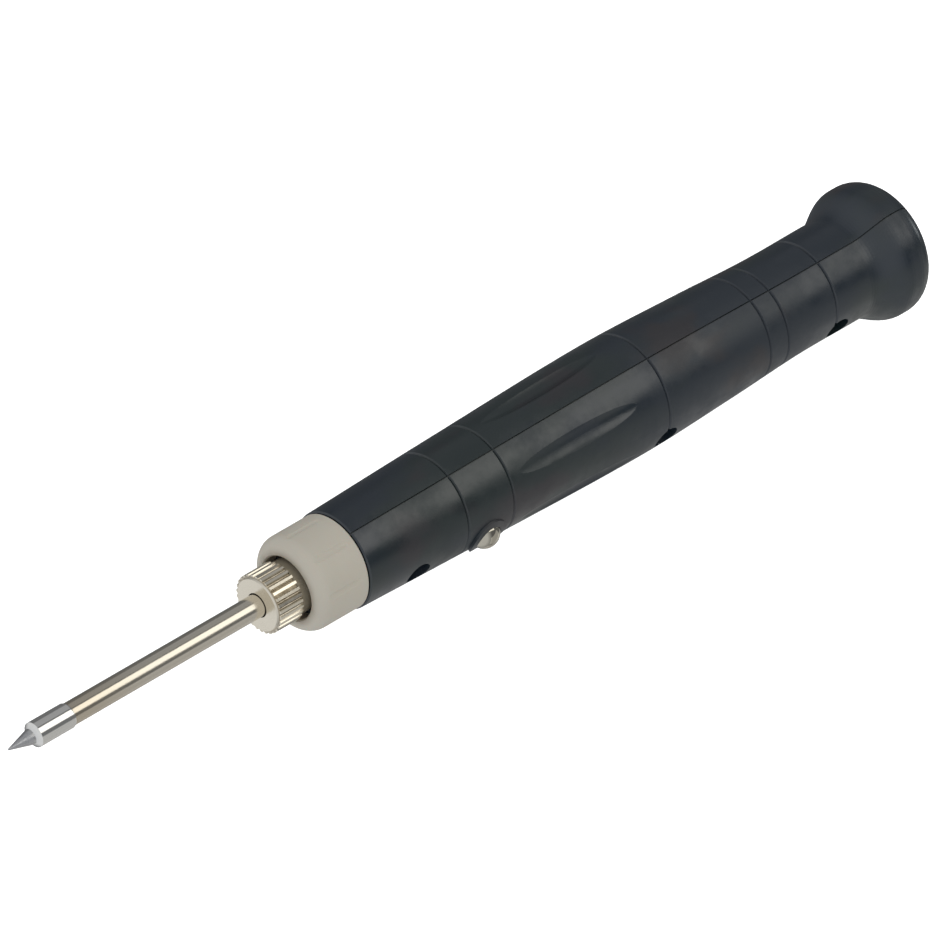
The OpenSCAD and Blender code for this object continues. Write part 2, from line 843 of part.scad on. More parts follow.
module socket_body() {
    color([0.16, 0.16, 0.17])
        difference() {
            union() {
                translate([socket_front_x, -socket_height / 2, -socket_width / 2])
                    cube([socket_back_x - socket_front_x, socket_height, socket_width]);
                rod_along(socket_back_x - overrun, 0, socket_nose_d);
            }
            rod_along(-socket_depth, overrun, socket_bore_d);
            for (side = [-1, 1])
                translate([
                    socket_front_x - overrun,
                    -contact_width / 2 - part_gap,
                    side * contact_z - contact_t / 2 - part_gap
                ])
                    cube([
                        socket_back_x - socket_front_x,
                        contact_width + 2 * part_gap,
                        contact_t + 2 * part_gap
                    ]);
        }
}

module socket_contacts() {
    length = socket_back_x - socket_front_x - overrun - part_gap;
    color([0.78, 0.68, 0.4])
        for (side = [-1, 1])
            translate([socket_front_x - contact_reach, -contact_width / 2, side * contact_z - contact_t / 2])
                cube([length + contact_reach, contact_width, contact_t]);
}

// A supply lead on the side z = side, from its contact past two screw bosses to the board
module lead(side) {
    r = supply_lead_d / 2;
    pass_z = boss_d / 2 + 2 * r;
    start_x = socket_front_x - contact_reach / 2;
    board_y = -board_face - r - part_gap;
    start_z = contact_z + contact_t / 2 + r + part_gap;
    middle_x = (screw_x[1] + screw_x[2]) / 2;
    tube_through(
        [
            [start_x, 0, side * start_z],
            [screw_x[2], 0, side * start_z],
            [screw_x[2] - boss_d, 0, side * start_z],
            [middle_x + boss_d, 0, side * (pass_z + r)],
            [middle_x, board_y / 2, side * (pass_z + r)],
            [middle_x - boss_d, board_y, side * pass_z],
            [screw_x[1] + boss_d, board_y, side * pass_z],
            [screw_x[1], board_y, side * pass_z],
            [board_back_x, board_y, side * pass_z],
            [board_back_x - 2 * supply_lead_d, board_y, side * pass_z]
        ],
        r, 8, [0, 1, 0]
    );
}

module supply_lead() {
    color([0.7, 0.1, 0.08])
        lead(1);
}

module return_lead() {
    color([0.08, 0.08, 0.09])
        lead(-1);
}

switch_side_shell();
plain_side_shell();
nose_collar();
shell_screws();
tip_bit();
tip_tube();
tip_flange();
knurled_nut();
thrust_washer();
heater_bush();
heater_rod();
heater_leads();
touch_ball();
touch_spring();
circuit_board();
controller_chip();
power_transistor();
motion_sensor();
indicator_led();
chip_resistors();
capacitor();
socket_body();
socket_contacts();
supply_lead();
return_lead();
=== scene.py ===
# %% [markdown]
# # A pen soldering iron, dressed for its portrait
#
# The construction comes in as a fixed frame: every part is already at its real size and place.
# This lesson gives each part its finish, adds the fine pieces that a construction model leaves
# out, and sets up the camera and the light.

import math

import bpy
from mathutils import Matrix, Vector


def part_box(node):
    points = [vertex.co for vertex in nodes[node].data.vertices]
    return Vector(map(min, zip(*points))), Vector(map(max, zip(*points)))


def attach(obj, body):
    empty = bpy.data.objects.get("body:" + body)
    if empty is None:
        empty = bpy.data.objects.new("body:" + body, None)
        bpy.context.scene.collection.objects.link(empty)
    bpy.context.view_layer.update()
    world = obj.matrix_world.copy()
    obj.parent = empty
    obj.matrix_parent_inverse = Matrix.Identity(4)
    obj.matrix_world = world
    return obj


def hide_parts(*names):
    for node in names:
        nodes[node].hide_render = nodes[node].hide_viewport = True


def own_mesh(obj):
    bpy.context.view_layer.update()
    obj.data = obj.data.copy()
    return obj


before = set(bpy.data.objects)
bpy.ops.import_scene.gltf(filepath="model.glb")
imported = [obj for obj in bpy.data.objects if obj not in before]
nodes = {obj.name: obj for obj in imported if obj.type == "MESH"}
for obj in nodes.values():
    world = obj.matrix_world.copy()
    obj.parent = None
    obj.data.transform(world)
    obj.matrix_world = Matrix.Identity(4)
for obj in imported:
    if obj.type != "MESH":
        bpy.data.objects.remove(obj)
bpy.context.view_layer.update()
print("parts in the frame:", len(nodes))

# %% [markdown]
# The tool lies along X. Its tip points to low X and the middle of the tail face is at zero. The
# shells meet on the plane Y = 0, with the touch ball and the screws on the -Y side. A part's
# outer sizes are read from its box in the frame, so that they needn't be typed in again.

# %% Sizes read from the frame
MM = 0.001


def low(node):
    return Vector(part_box(node)[0])


def high(node):
    return Vector(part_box(node)[1])


tip_x = low("tip_bit").x
tail_x = high("plain_side_shell").x
handle_radius = high("plain_side_shell").z
middle = Vector(((tip_x + tail_x) / 2, 0, 0))
print(f"length {(tail_x - tip_x) / MM:.1f} mm, tail radius {handle_radius / MM:.2f} mm")

# %% [markdown]
# Cameras, lights and new pieces are all made in two steps: first their data, then an object that
# holds it and is linked into the scene. An operator acts on all that is selected, and loading
# the frame leaves its parts selected, so a piece is always picked out alone before it is worked.


# %% Place and pick
def placed(name, data):
    """A new object that holds this data, linked into the scene."""
    made = bpy.data.objects.new(name, data)
    bpy.context.collection.objects.link(made)
    return made


def pick(piece):
    """Select this piece alone."""
    bpy.ops.object.select_all(action="DESELECT")
    bpy.context.view_layer.objects.active = piece
    piece.select_set(True)


# %% [markdown]
# The photograph was taken from far away with a long lens, from the tip's side and above, with
# the camera rolled until the tool climbs to the right. A camera could be aimed with a tracking
# constraint, but that takes its roll away. Here three angles turn its axes, and the axes are the
# columns of its matrix. It aims at a point close to the tool's middle.

# %% Camera
CAMERA_DISTANCE = 1.5
CAMERA_CLIP = 100
FOCAL_PIXELS = 10807.6
FRAME_PIXELS = 936
SENSOR = 36
CAMERA_SIDE = -67.458
CAMERA_HEIGHT = 52.680
CAMERA_ROLL = 32.366
AIM_RIGHT = 0.883 * MM
AIM_UP = 2.599 * MM


def camera_axes():
    """The camera's right, its up, and the way back from the tool to the camera."""
    side, height, roll = (math.radians(a) for a in (CAMERA_SIDE, CAMERA_HEIGHT, CAMERA_ROLL))
    right = Vector((math.cos(side), math.sin(side), 0))
    level = Vector((math.sin(side), -math.cos(side), 0))
    back = math.cos(height) * level + Vector((0, 0, math.sin(height)))
    up = back.cross(right)
    return (
        math.cos(roll) * right + math.sin(roll) * up,
        math.cos(roll) * up - math.sin(roll) * right,
        back,
    )


def make_camera():
    right, up, back = camera_axes()
    data = bpy.data.cameras.new("camera")
    data.sensor_width = SENSOR
    data.lens = FOCAL_PIXELS / FRAME_PIXELS * SENSOR
    data.clip_end = CAMERA_CLIP
    camera = placed("camera", data)
    turn = Matrix((right, up, back)).transposed().to_4x4()
    aim = middle + AIM_RIGHT * right + AIM_UP * up
    camera.matrix_world = Matrix.Translation(aim + CAMERA_DISTANCE * back) @ turn
    bpy.context.scene.camera = camera
    print(f"camera with a {data.lens:.0f} mm lens, {CAMERA_DISTANCE} m away")
    return back


back = make_camera()

# %% [markdown]
# The photograph's ground is white all over, with no shadow on it. A white sheet under the lamps
# would turn grey towards its edges, so this one glows evenly. Its glow would also light the tool
# from below and fill the metal's reflections, so only the camera sees the sheet. It is far
# larger than the tool, so that its edge doesn't show in a low view.

# %% Paper floor
FLOOR_SIZE = 40.0
FLOOR_GLOW = 1.0
PAPER_TONE = 0.9
PAPER_ROUGHNESS = 0.9


def make_floor():
    bpy.ops.object.select_all(action="DESELECT")
    bpy.ops.mesh.primitive_plane_add(size=FLOOR_SIZE, location=(middle.x, 0, -handle_radius))
    floor = bpy.context.object
    floor.name = "floor"
    material = bpy.data.materials.new("paper_floor")
    material.use_nodes = True
    shader = material.node_tree.nodes["Principled BSDF"]
    shader.inputs["Base Color"].default_value = (PAPER_TONE, PAPER_TONE, PAPER_TONE, 1)
    shader.inputs["Roughness"].default_value = PAPER_ROUGHNESS
    shader.inputs["Emission Color"].default_value = (1, 1, 1, 1)
    shader.inputs["Emission Strength"].default_value = FLOOR_GLOW
    material.cycles.emission_sampling = "NONE"
    floor.data.materials.append(material)
    floor.visible_glossy = False
    floor.visible_diffuse = False
    floor.visible_shadow = False
    print(f"floor {FLOOR_SIZE:.0f} m wide, {handle_radius / MM:.1f} mm under the axis")


make_floor()

# %% [markdown]
# Five soft boxes light the tool. Satin plastic and metal show the lamps themselves, so what
# counts is where the camera sees each one mirrored. For three of them that is worked out, as on
# a billiard table: round a long straight tool, the places that its sides mirror to the camera
# lie on one cone, and an angle round the axis picks the place. The key stands high over the tail
# and draws the long highlight down the handle. The last lamp is small and stands low behind the
# tail, for the bright spot on its flare.

# %% Soft boxes
LAMP_DISTANCE = 0.66


def mirrored(turn):
    """A lamp's place, turn degrees round the tool from +Z to -Y, that its side mirrors."""
    turn = math.radians(turn)
    across = math.hypot(back.y, back.z)
    way = Vector((-back.x, -across * math.sin(turn), across * math.cos(turn)))
    return middle + LAMP_DISTANCE * way


def soft_box(name, where, size, radiance, colour):
    """A lamp that faces the tool; size is its length along the tool and its width, in metres."""
    data = bpy.data.lights.new(name, "AREA")
    data.shape = "RECTANGLE"
    data.size, data.size_y = size
    data.energy = radiance * size[0] * size[1] * math.pi
    data.color = colour
    away = (where - middle).normalized()
    along = Vector((1, 0, 0))
    along = (along - along.dot(away) * away).normalized()
    turn = Matrix((along, away.cross(along), away)).transposed().to_4x4()
    placed(name, data).matrix_world = Matrix.Translation(where) @ turn
    print(f"{name} lamp, {data.energy:.2f} W, {(where - middle).length:.2f} m away")


over_tail = middle + Vector((0.34, -0.15, 0.73))
behind_tail = middle + Vector((0.7, -0.05, 0.12))
soft_box("key", over_tail, size=(0.68, 0.6), radiance=1.45, colour=(1, 0.985, 0.93))
soft_box("front", mirrored(98), size=(0.8, 0.66), radiance=0.34, colour=(1, 0.99, 0.95))
soft_box("low", mirrored(152), size=(0.8, 0.5), radiance=0.36, colour=(1, 0.98, 0.93))
soft_box("upper", mirrored(-50), size=(0.8, 0.6), radiance=0.2, colour=(0.97, 0.98, 1))
soft_box("tail", behind_tail, size=(0.13, 0.18), radiance=3.0, colour=(0.95, 1, 1))

# %% [markdown]
# The room round the lamps fills what they leave dark. It could be one even grey, but the tool's
# long sides mirror what lies behind the tail, and the faces that look to the front mirror what
# lies before the tip. So the room is dim behind the tail, which keeps the dark plastic dark, and
# bright before the tip, for the nut's face and the collar's rounded nose. The fade between them
# is given by the X part of the direction. The standard view keeps the white ground white, and
# the colours as they are mixed.

# %% Room
ROOM_COLOUR = (0.95, 0.97, 1.0)
BRIGHT_SIDE = 0.78
DIM_SIDE = 0.18
FADE_FROM = -0.35
FADE_TO = 0.25


def make_room():
    world = bpy.data.worlds.new("studio")
    bpy.context.scene.world = world
    world.use_nodes = True
    tree = world.node_tree
    place = tree.nodes.new("ShaderNodeTexCoord")
    split = tree.nodes.new("ShaderNodeSeparateXYZ")
    fade = tree.nodes.new("ShaderNodeMapRange")
    fade.inputs["From Min"].default_value = FADE_FROM
    fade.inputs["From Max"].default_value = FADE_TO
    fade.inputs["To Min"].default_value = BRIGHT_SIDE
    fade.inputs["To Max"].default_value = DIM_SIDE
    tree.links.new(place.outputs["Generated"], split.inputs[0])
    tree.links.new(split.outputs["X"], fade.inputs["Value"])
    background = tree.nodes["Background"]
    tree.links.new(fade.outputs["Result"], background.inputs["Strength"])
    background.inputs["Color"].default_value = (*ROOM_COLOUR, 1)
    print(f"room from {BRIGHT_SIDE} before the tip to {DIM_SIDE} behind the tail")


make_room()
bpy.context.scene.view_settings.view_transform = "Standard"

# %% [markdown]
# Every finish is a fresh material. Its shader's sockets are either set to one number or colour,
# or fed by a pattern, and one helper does both. The roughness given at the start is the plain
# value, for a viewer that leaves the patterns out. Object coordinates are used throughout,
# because the parts have no unwrapped surface and their objects all sit at the origin, so a
# pattern stays put when the part moves.

# %% A bare material
dressed = set()


class Material:
    """A material with its shader, and the helpers that fill its sockets."""

    def __init__(self, name, roughness, metallic=0.0, **inputs):
        self.material = bpy.data.materials.new(name)
        self.material.use_nodes = True
        self.tree = self.material.node_tree
        self.shader = self.tree.nodes["Principled BSDF"]
        self.set("Roughness", roughness)
        self.set("Metallic", metallic)
        for key, value in inputs.items():
            self.set(key.replace("_", " "), value)
        self.place = self.add("ShaderNodeTexCoord").outputs["Object"]

    def add(self, kind, **settings):
        made = self.tree.nodes.new(kind)
        for key, value in settings.items():
            setattr(made, key, value)
        return made

    def put(self, socket, value):
        """Link a socket, or set it; a colour of three numbers is given its opacity."""
        if isinstance(value, bpy.types.NodeSocket):
            self.tree.links.new(value, socket)
        elif socket.type == "RGBA":
            socket.default_value = (*value, 1)
        else:
            socket.default_value = value

    def set(self, name, value):
        self.put(self.shader.inputs[name], value)

    def on(self, *names):
        for name in names:
            slots = nodes[name].data.materials
            slots.clear()
            slots.append(self.material)
            dressed.add(name)
        print(self.material.name, "on", ", ".join(names))


# %% [markdown]
# The patterns are built from a few bricks, so they are written once: a noise on the part's own
# coordinates, a change of range, a mix of two colours, the place on the tool, and a bump. Bricks
# could be stacked by hand for every finish, but then the same dozen lines would come back each
# time and hide what makes one finish differ from the next. A Mix brick keeps its sockets for
# numbers, places and colours in one list, so its colour sockets are asked for by their number.

# %% Bricks for the patterns
MIX_FIRST, MIX_SECOND, MIXED = 6, 7, 2


class Finish(Material):
    """A material whose colour, gloss and grain come from patterns."""

    def stretched(self, stretch=(1, 1, 1)):
        mapping = self.add("ShaderNodeMapping", vector_type="POINT")
        self.put(mapping.inputs["Vector"], self.place)
        self.put(mapping.inputs["Scale"], stretch)
        return mapping.outputs["Vector"]

    def noise(self, scale, detail, rough, stretch=(1, 1, 1)):
        """Cloudy noise from 0 to 1; a stretch under 1 draws it out along that axis."""
        texture = self.add("ShaderNodeTexNoise")
        self.put(texture.inputs["Vector"], self.stretched(stretch))
        self.put(texture.inputs["Scale"], scale)
        self.put(texture.inputs["Detail"], detail)
        self.put(texture.inputs["Roughness"], rough)
        return texture.outputs["Fac"]

    def ranged(self, value, between, becomes=(0, 1)):
        """Ease a value that lies between two numbers into two others."""
        node = self.add("ShaderNodeMapRange", interpolation_type="SMOOTHSTEP")
        keys = ("Value", "From Min", "From Max", "To Min", "To Max")
        for key, number in zip(keys, (value, *between, *becomes)):
            self.put(node.inputs[key], number)
        return node.outputs["Result"]

    def math(self, operation, first, second=0.0):
        made = self.add("ShaderNodeMath", operation=operation)
        self.put(made.inputs[0], first)
        self.put(made.inputs[1], second)
        return made.outputs[0]

    def times(self, first, second):
        return self.math("MULTIPLY", first, second)

    def blend(self, share, first, second):
        """The first colour where share is 0, the second where it is 1."""
        mix = self.add("ShaderNodeMix", data_type="RGBA")
        self.put(mix.inputs["Factor"], share)
        self.put(mix.inputs[MIX_FIRST], first)
        self.put(mix.inputs[MIX_SECOND], second)
        return mix.outputs[MIXED]

    def along_x(self):
        split = self.add("ShaderNodeSeparateXYZ")
        self.put(split.inputs[0], self.place)
        return split.outputs["X"]

    def off_axis(self):
        """The distance from the tool's axis."""
        split = self.add("ShaderNodeSeparateXYZ")
        self.put(split.inputs[0], self.place)
        y_squared, z_squared = (self.math("POWER", split.outputs[k], 2.0) for k in "YZ")
        return self.math("SQRT", self.math("ADD", y_squared, z_squared))

    def bump(self, height, depth):
        bump = self.add("ShaderNodeBump")
        self.put(bump.inputs["Strength"], 1.0)
        self.put(bump.inputs["Distance"], depth)
        self.put(bump.inputs["Height"], height)
        self.set("Normal", bump.outputs["Normal"])


# %% [markdown]
# The shells are moulded in a blue-black plastic that hands have polished here and there. Flat
# black would look like a hole in the picture, so the colour wanders a little between blue-black
# and green-black and is greyer where it is rubbed, the gloss changes in broad patches, and a
# very fine grain from the mould breaks up the long highlight of the key lamp.

# %% Shell plastic
BLUE_BLACK = (0.002, 0.0096, 0.0195)
GREEN_BLACK = (0.003, 0.0122, 0.0138)
RUBBED_BLACK = (0.0125, 0.0115, 0.0155)
MOULD_GRAIN = 0.006 * MM

shell = Finish("shell_plastic", roughness=0.42, Specular_IOR_Level=0.8)
patches = shell.noise(scale=60, detail=4, rough=0.6, stretch=(0.5, 1, 1))
rubbed = shell.noise(scale=95, detail=3, rough=0.55, stretch=(0.6, 1, 1))
gloss = shell.noise(scale=75, detail=6, rough=0.7)
tints = shell.blend(shell.ranged(patches, between=(0.42, 0.6)), BLUE_BLACK, GREEN_BLACK)
tints = shell.blend(shell.ranged(rubbed, between=(0.52, 0.66)), tints, RUBBED_BLACK)
shell.set("Base Color", tints)
shell.set("Roughness", shell.ranged(gloss, between=(0.36, 0.62), becomes=(0.29, 0.5)))
shell.bump(shell.noise(scale=5200, detail=3, rough=0.6), MOULD_GRAIN)
shell.on("switch_side_shell", "plain_side_shell")

# %% [markdown]
# The collar is a warm light grey plastic with hardly any gloss. Round the hole it is painted
# darker and browner: partly painted shade of the gap at the nut, partly browning from the heat
# and dust. The distance from the axis says where that is, and a fine noise breaks it up into
# specks.

# %% Collar plastic
WARM_GREY = (0.59, 0.545, 0.455)
PALE_GREY = (0.65, 0.61, 0.52)
SHADE_AND_SOOT_BROWN = (0.36, 0.31, 0.235)
ROUND_THE_HOLE = (4.8 * MM, 6.2 * MM)
COLLAR_GRAIN = 0.008 * MM
COLLAR_GLOW_DEPTH = 0.6 * MM

collar = Finish(
    "collar_plastic",
    roughness=0.55,
    Specular_IOR_Level=0.4,
    Subsurface_Weight=0.08,
    Subsurface_Scale=COLLAR_GLOW_DEPTH,
)
greys = collar.blend(collar.noise(scale=140, detail=4, rough=0.6), WARM_GREY, PALE_GREY)
near_hole = collar.ranged(collar.off_axis(), between=ROUND_THE_HOLE, becomes=(1, 0))
specks = collar.noise(scale=500, detail=4, rough=0.6)
specks = collar.ranged(specks, between=(0.25, 0.7), becomes=(0.35, 0.85))
# Painted shade: round the hole the grey is darkened towards brown, partly as the gap's shade,
# partly as browning and dust.
collar.set("Base Color", collar.blend(collar.times(near_hole, specks), greys, SHADE_AND_SOOT_BROWN))
collar.bump(collar.noise(scale=4200, detail=3, rough=0.55), COLLAR_GRAIN)
collar.on("nose_collar")

# %% [markdown]
# The nut is plated with polished nickel, a little yellower than chrome. The valleys between its
# ridges are painted darker: partly painted shade between the ridges, partly grease that no finger
# wipes off. The distance from the axis tells a valley from a ridge, and the place along X keeps
# the painted valley shade off the front face. The smooth land at the collar's edge is dull and
# painted brown: partly browning from the heat, partly painted shade of the gap where it enters
# the collar. It is also less of a metal there.

# %% Nut plating
NICKEL = (0.8, 0.74, 0.62)
GREASE_AND_SHADE = (0.24, 0.195, 0.14)
BROWNED_AND_SHADED_NICKEL = (0.4, 0.35, 0.26)
DULL_METAL = 0.3
POLISH_MARKS = 0.0025 * MM

nut_front = low("knurled_nut").x
nut_radius = high("knurled_nut").z
collar_front = low("nose_collar").x
valley_to_ridge = (nut_radius - 0.34 * MM, nut_radius - 0.06 * MM)
behind_the_face = (nut_front + 0.15 * MM, nut_front + 0.4 * MM)
ridges_end = (collar_front - 1.1 * MM, collar_front - 0.7 * MM)
land_start = (collar_front - 1.0 * MM, collar_front - 0.86 * MM)

nut = Finish("nut_plating", roughness=0.2, metallic=1.0)
in_valley = nut.ranged(nut.off_axis(), valley_to_ridge, becomes=(1, 0))
off_face = nut.ranged(nut.along_x(), behind_the_face)
off_land = nut.ranged(nut.along_x(), ridges_end, becomes=(1, 0.35))
clots = nut.noise(scale=900, detail=4, rough=0.6)
clots = nut.ranged(clots, between=(0.2, 0.7), becomes=(0.5, 1))
# Painted shade: the valleys are darkened towards grease brown, partly as the shade between the
# ridges, partly as real grease.
valley_shade_and_grease = nut.times(nut.times(in_valley, nut.times(off_face, off_land)), clots)
on_land = nut.ranged(nut.along_x(), land_start)
shaded_nickel = nut.blend(valley_shade_and_grease, NICKEL, GREASE_AND_SHADE)
polish = nut.noise(scale=700, detail=5, rough=0.65)
# Painted shade: the land by the collar is painted brown and dull, partly as the gap's shade,
# partly as heat browning.
nut.set("Base Color", nut.blend(on_land, shaded_nickel, BROWNED_AND_SHADED_NICKEL))
nut.set("Metallic", nut.ranged(on_land, between=(0, 1), becomes=(1, DULL_METAL)))
nut.set("Roughness", nut.ranged(polish, between=(0.3, 0.75), becomes=(0.17, 0.3)))
nut.bump(nut.noise(scale=2600, detail=2, rough=0.5), POLISH_MARKS)
nut.on("knurled_nut")

# %% [markdown]
# The touch ball has the same plating on a rolled ball. Fingers rub it all day, so its polish is
# finer than the nut's and its colour a little darker. Its scratches are too fine to see one by
# one, so they are left to the gloss and nothing is raised.

# %% Ball plating
BALL_NICKEL = (0.54, 0.51, 0.43)
RUBBED_NICKEL = (0.47, 0.44, 0.37)

ball = Finish("ball_plating", roughness=0.06, metallic=1.0)
scratches = ball.noise(scale=1500, detail=4, rough=0.7)
ball_tint = ball.blend(ball.noise(scale=600, detail=3, rough=0.5), BALL_NICKEL, RUBBED_NICKEL)
ball.set("Base Color", ball_tint)
ball.set("Roughness", ball.ranged(scratches, between=(0.35, 0.8), becomes=(0.06, 0.16)))
ball.on("touch_ball")

# %% [markdown]
# The tube is drawn steel with a nickel flash. Drawing leaves fine lines along it, so the pattern
# is drawn out some eighty times along X. The heat of the tip has straw-coloured it near the front.

# %% Drawn tube
TUBE_STEEL = (0.72, 0.675, 0.59)
TUBE_LINES = (0.62, 0.575, 0.49)
STRAW = (0.6, 0.52, 0.4)
STRAW_LENGTH = 16 * MM
STRAW_SHARE = 0.55
LINE_DEPTH = 0.0012 * MM

tube_front = low("tip_tube").x
tube = Finish("tube_steel", roughness=0.2, metallic=1.0)
lines = tube.noise(scale=3000, detail=4, rough=0.6, stretch=(0.012, 1, 1))
heated = (tube_front, tube_front + STRAW_LENGTH)
heat = tube.ranged(tube.along_x(), heated, becomes=(STRAW_SHARE, 0))
tube.set("Base Color", tube.blend(heat, tube.blend(lines, TUBE_STEEL, TUBE_LINES), STRAW))
tube.set("Roughness", tube.ranged(lines, between=(0.3, 0.7), becomes=(0.15, 0.23)))
tube.bump(lines, LINE_DEPTH)
tube.on("tip_tube", "tip_flange", "thrust_washer")

# %% [markdown]
# The head is iron under a bright plating, cooler in colour than the tube. Its cone has been
# wetted with solder, which leaves a greyer, slightly lumpy skin towards the point. One mask
# along X serves the colour, the gloss and the lumps, so that they end at the same place.

# %% Plated head
BRIGHT_PLATING = (0.84, 0.83, 0.8)
PLATING_LINES = (0.74, 0.73, 0.7)
SOLDER_GREY = (0.5, 0.5, 0.51)
SOLDER_SHINE = (0.72, 0.72, 0.73)
SOLDER_LUMPS = 0.03 * MM

tip_point = low("tip_bit").x
solder_edge = (tip_point + 3.4 * MM, tip_point + 4.6 * MM)
head = Finish("tip_plating", roughness=0.18, metallic=1.0)
wetted = head.ranged(head.along_x(), solder_edge, becomes=(1, 0))
turned_lines = head.noise(scale=800, detail=4, rough=0.6, stretch=(0.15, 1, 1))
bright = head.blend(turned_lines, BRIGHT_PLATING, PLATING_LINES)
solder = head.blend(head.noise(scale=1800, detail=4, rough=0.7), SOLDER_GREY, SOLDER_SHINE)
head.set("Base Color", head.blend(wetted, bright, solder))
head.set("Roughness", head.ranged(wetted, between=(0, 1), becomes=(0.13, 0.27)))
head.bump(head.times(wetted, head.noise(scale=1500, detail=3, rough=0.6)), SOLDER_LUMPS)
head.on("tip_bit")

# %% [markdown]
# The screws sit deep in their recesses and are seen as a dark glint: zinc with a smoky finish.
# Two noises of different size, one for colour and one for gloss, keep it from looking sprayed.

# %% Dark zinc
SMOKY_ZINC = (0.2, 0.2, 0.21)
BLACK_ZINC = (0.1, 0.1, 0.11)

screw = Finish("screw_steel", roughness=0.35, metallic=1.0)
smoke = screw.noise(scale=1200, detail=4, rough=0.6)
etched = screw.noise(scale=2200, detail=3, rough=0.6)
screw.set("Base Color", screw.blend(smoke, SMOKY_ZINC, BLACK_ZINC))
screw.set("Roughness", screw.ranged(etched, between=(0.3, 0.7), becomes=(0.28, 0.5)))
screw.on("shell_screws")

# %% [markdown]
# The rest shows only through the socket, or when the tip is drawn off its heater. Each part still
# has its own colour and grain, because a maker may open the tool. The bush behind the nut is
# turned brass. Its tool marks are rings, and a noise that is drawn out fifty times across the
# axis gives them, because it then changes along the axis alone.

# %% Turned brass
BRASS = (0.68, 0.5, 0.24)
BRASS_SHADE = (0.56, 0.4, 0.17)
TOOL_MARKS = 0.006 * MM

bush_brass = Finish("bush_brass", roughness=0.28, metallic=1.0)
rings = bush_brass.noise(scale=2500, detail=3, rough=0.6, stretch=(1, 0.02, 0.02))
ring_gloss = bush_brass.ranged(rings, between=(0.3, 0.7), becomes=(0.2, 0.38))
bush_brass.set("Base Color", bush_brass.blend(rings, BRASS, BRASS_SHADE))
bush_brass.set("Roughness", ring_gloss)
bush_brass.bump(rings, TOOL_MARKS)
bush_brass.on("heater_bush")

# %% [markdown]
# The heater rod is fired ceramic: matt white, with light going a little way in, and baked brown
# at its hot end. The browning fades along X over 12 mm.

# %% Fired ceramic
CERAMIC_WHITE = (0.85, 0.83, 0.78)
CERAMIC_SHADE = (0.78, 0.76, 0.71)
BAKED_BROWN = (0.66, 0.58, 0.47)
BAKED_LENGTH = 12 * MM
BAKED_SHARE = 0.7
CERAMIC_GRAIN = 0.01 * MM
CERAMIC_GLOW_DEPTH = 0.8 * MM

rod_front = low("heater_rod").x
ceramic = Finish(
    "fired_ceramic",
    roughness=0.4,
    Subsurface_Weight=0.2,
    Subsurface_Scale=CERAMIC_GLOW_DEPTH,
)
hot_end = (rod_front, rod_front + BAKED_LENGTH)
baked = ceramic.ranged(ceramic.along_x(), hot_end, becomes=(BAKED_SHARE, 0))
clouds = ceramic.noise(scale=420, detail=4, rough=0.6)
white = ceramic.blend(clouds, CERAMIC_WHITE, CERAMIC_SHADE)
ceramic.set("Base Color", ceramic.blend(baked, white, BAKED_BROWN))
ceramic.bump(ceramic.noise(scale=2800, detail=3, rough=0.6), CERAMIC_GRAIN)
ceramic.on("heater_rod")

# %% [markdown]
# Sleeves, lead insulation, the socket and the chips are all soft or moulded plastics with the
# same dusty unevenness, so one function makes them and only colour and gloss change.

# %% Insulation and mouldings
SLEEVE_WHITE, SLEEVE_SHADE = (0.82, 0.8, 0.74), (0.7, 0.67, 0.6)
LEAD_RED, LEAD_RED_SHADE = (0.55, 0.035, 0.025), (0.42, 0.025, 0.02)
LEAD_BLACK, LEAD_BLACK_DUST = (0.02, 0.02, 0.022), (0.035, 0.035, 0.036)
SOCKET_BLACK, SOCKET_DUST = (0.02, 0.02, 0.023), (0.034, 0.034, 0.037)
EPOXY_BLACK, EPOXY_DUST = (0.022, 0.022, 0.024), (0.04, 0.04, 0.042)
PLASTIC_GRAIN = 0.01 * MM


def moulded(name, first, second, roughness, parts):
    made = Finish(name, roughness)
    made.set("Base Color", made.blend(made.noise(scale=700, detail=3, rough=0.6), first, second))
    made.bump(made.noise(scale=2500, detail=2, rough=0.5), PLASTIC_GRAIN)
    made.on(*parts)


chips = ["controller_chip", "power_transistor", "chip_resistors"]
moulded("white_sleeve", SLEEVE_WHITE, SLEEVE_SHADE, roughness=0.7, parts=["heater_leads"])
moulded("red_insulation", LEAD_RED, LEAD_RED_SHADE, roughness=0.4, parts=["supply_lead"])
moulded("black_insulation", LEAD_BLACK, LEAD_BLACK_DUST, roughness=0.42, parts=["return_lead"])
moulded("moulded_socket", SOCKET_BLACK, SOCKET_DUST, roughness=0.46, parts=["socket_body"])
moulded("moulded_epoxy", EPOXY_BLACK, EPOXY_DUST, roughness=0.55, parts=chips)

# %% [markdown]
# The small metal parts are drawn or stamped: the spring's wire, two cans and the socket's
# contacts. One grain drives both colour and gloss, because a dull spot on metal is also rougher.

# %% Small metal parts
WIRE_GREY, WIRE_SHADE = (0.58, 0.58, 0.57), (0.4, 0.4, 0.4)
CAN_GREY, CAN_SHADE = (0.76, 0.76, 0.77), (0.64, 0.64, 0.65)
TINNED_BRASS, TINNED_SHADE = (0.78, 0.68, 0.44), (0.64, 0.53, 0.3)
GLOSSIEST = 0.75
DULLEST = 1.3


def drawn_metal(name, first, second, roughness, parts):
    made = Finish(name, roughness, metallic=1.0)
    grain = made.noise(scale=1800, detail=4, rough=0.65)
    gloss = (roughness * GLOSSIEST, roughness * DULLEST)
    made.set("Base Color", made.blend(grain, first, second))
    made.set("Roughness", made.ranged(grain, between=(0.3, 0.7), becomes=gloss))
    made.on(*parts)
    return made


